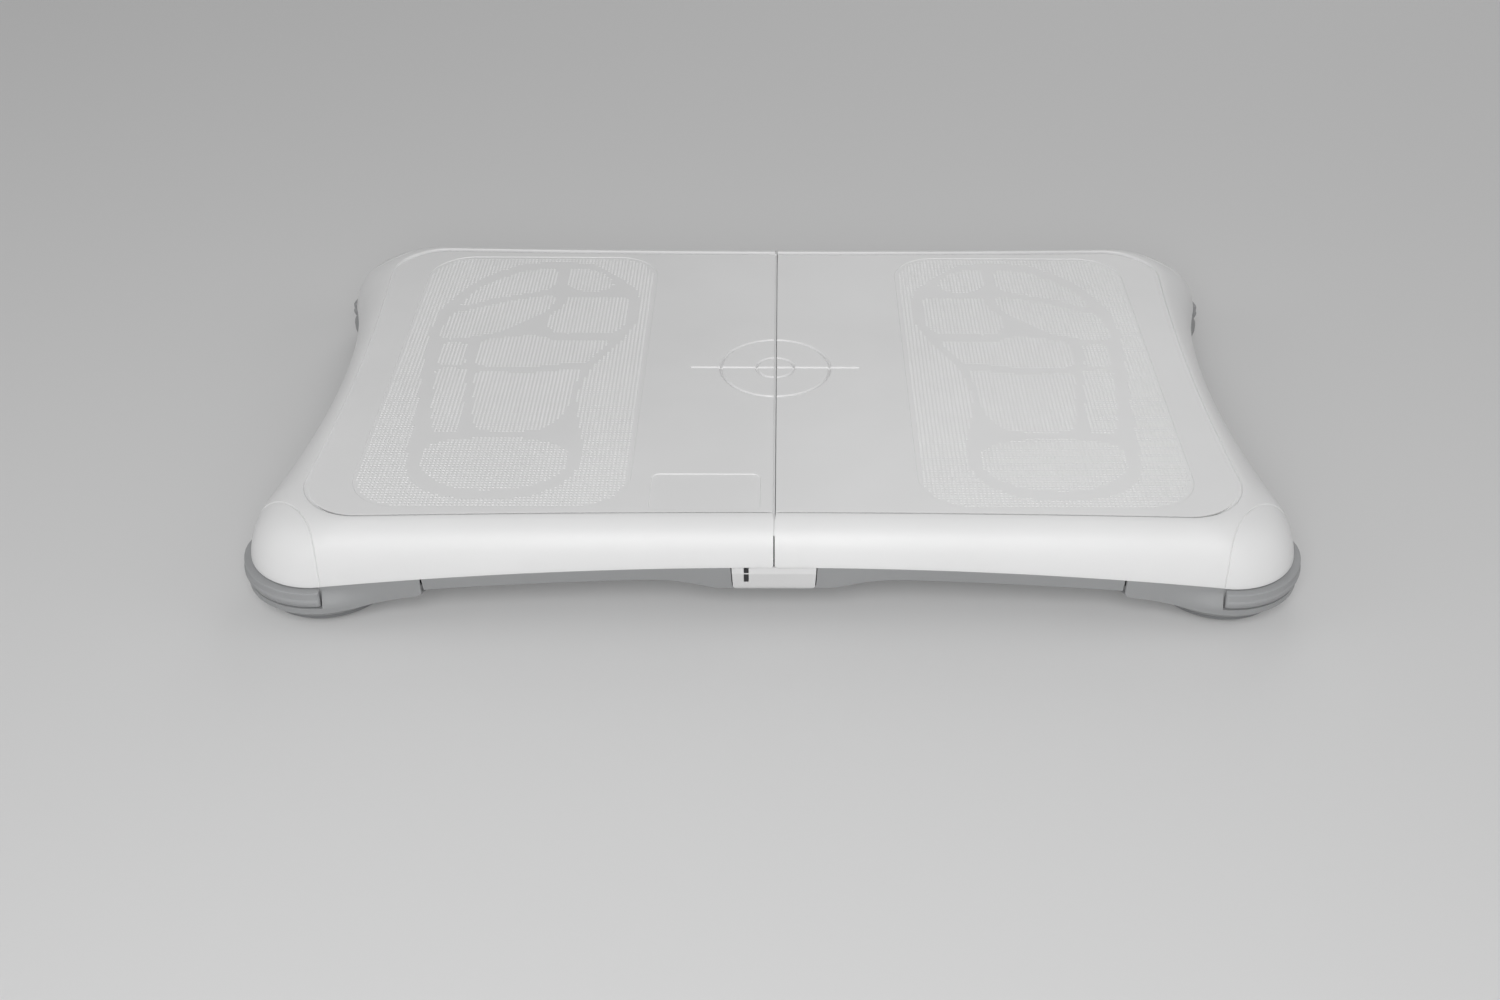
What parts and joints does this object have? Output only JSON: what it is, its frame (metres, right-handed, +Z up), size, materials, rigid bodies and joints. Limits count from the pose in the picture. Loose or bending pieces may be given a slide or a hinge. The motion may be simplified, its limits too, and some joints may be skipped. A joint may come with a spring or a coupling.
{
  "type": "game console balance board",
  "caption": "Low four-footed platform with drawn-in edges, a seamed white deck, load cell feet, a front power button and a battery door in its grey underside.",
  "frame": {"origin": "on the floor, under the middle of the board", "axes": "+X along the length to the player's right, +Y away from the player, +Z up"},
  "size_m": [0.511, 0.316, 0.0532],
  "materials": {
    "white_shell": "fine satin moulding",
    "white_button": "satin",
    "grey_shell": "fine satin moulding",
    "bumper": "soft satin",
    "foot_plastic": "satin",
    "foot_rubber": "matt",
    "cell_steel": "ground",
    "chassis_steel": "galvanised sheet",
    "plated_steel": "bright plated",
    "circuit_board": "solder mask over glass fibre",
    "black_plastic": "satin",
    "dark_lens": "smoked, glossy",
    "red_plastic": "glossy",
    "cell_wrap": "shrink wrap",
    "lead_sheath": "satin"
  },
  "bodies": {
    "board": {"battery_cell_1": "cell_wrap", "battery_cell_2": "cell_wrap", "battery_cell_3": "cell_wrap", "battery_cell_4": "cell_wrap", "battery_contact_left": "plated_steel", "battery_contact_right": "plated_steel", "bottom_tray": "grey_shell", "corner_bumper_front_left": "bumper", "corner_bumper_front_right": "bumper", "corner_bumper_rear_left": "bumper", "corner_bumper_rear_right": "bumper", "corner_cap_front_left": "white_shell", "corner_cap_front_right": "white_shell", "corner_cap_rear_left": "white_shell", "corner_cap_rear_right": "white_shell", "deck_shell_left": "white_shell", "deck_shell_right": "white_shell", "foot_fairing_front_left": "grey_shell", "foot_fairing_front_right": "grey_shell", "foot_fairing_rear_left": "grey_shell", "foot_fairing_rear_right": "grey_shell", "load_cell_bolt_front_left": "plated_steel", "load_cell_bolt_front_right": "plated_steel", "load_cell_bolt_rear_left": "plated_steel", "load_cell_bolt_rear_right": "plated_steel", "load_cell_front_left": "cell_steel", "load_cell_front_right": "cell_steel", "load_cell_lead_front_left": "lead_sheath", "load_cell_lead_front_right": "lead_sheath", "load_cell_lead_rear_left": "lead_sheath", "load_cell_lead_rear_right": "lead_sheath", "load_cell_rear_left": "cell_steel", "load_cell_rear_right": "cell_steel", "main_board": "circuit_board", "power_switch": "black_plastic", "radio_shield": "plated_steel", "steel_chassis": "chassis_steel", "sync_switch": "black_plastic", "tray_screw_1": "plated_steel", "tray_screw_2": "plated_steel", "tray_screw_3": "plated_steel", "tray_screw_4": "plated_steel", "tray_screw_5": "plated_steel", "tray_screw_6": "plated_steel"},
    "foot_front_left": {"foot_cup_front_left": "foot_plastic", "foot_pad_front_left": "foot_rubber", "foot_bolt_front_left": "plated_steel"},
    "foot_front_right": {"foot_cup_front_right": "foot_plastic", "foot_pad_front_right": "foot_rubber", "foot_bolt_front_right": "plated_steel"},
    "foot_rear_left": {"foot_cup_rear_left": "foot_plastic", "foot_pad_rear_left": "foot_rubber", "foot_bolt_rear_left": "plated_steel"},
    "foot_rear_right": {"foot_cup_rear_right": "foot_plastic", "foot_pad_rear_right": "foot_rubber", "foot_bolt_rear_right": "plated_steel"},
    "power_button": {"power_button": "white_button", "power_light_lens": "dark_lens"},
    "sync_button": {"sync_button": "red_plastic"},
    "battery_door": {"battery_door": "grey_shell"}
  },
  "joints": [
    {"name": "foot_press_front_left", "type": "slide", "parent": "board", "child": "foot_front_left", "axis": [0, 0, 1], "range_m": [0, 0.0005], "stiffness_N_per_m": 5000, "springref_m": -0.0016},
    {"name": "foot_press_front_right", "type": "slide", "parent": "board", "child": "foot_front_right", "axis": [0, 0, 1], "range_m": [0, 0.0005], "stiffness_N_per_m": 5000, "springref_m": -0.0016},
    {"name": "foot_press_rear_left", "type": "slide", "parent": "board", "child": "foot_rear_left", "axis": [0, 0, 1], "range_m": [0, 0.0005], "stiffness_N_per_m": 5000, "springref_m": -0.0016},
    {"name": "foot_press_rear_right", "type": "slide", "parent": "board", "child": "foot_rear_right", "axis": [0, 0, 1], "range_m": [0, 0.0005], "stiffness_N_per_m": 5000, "springref_m": -0.0016},
    {"name": "power_button_press", "type": "slide", "parent": "board", "child": "power_button", "axis": [0, 1, 0], "range_m": [0, 0.001], "stiffness_N_per_m": 1200},
    {"name": "sync_button_press", "type": "slide", "parent": "board", "child": "sync_button", "axis": [0, 0, 1], "range_m": [0, 0.0008], "stiffness_N_per_m": 1000},
    {"name": "battery_door_hinge", "type": "hinge", "parent": "board", "child": "battery_door", "pos_m": [0, 0.0347, 0.0194], "axis": [1, 0, 0], "range_deg": [0, 80]}
  ]
}
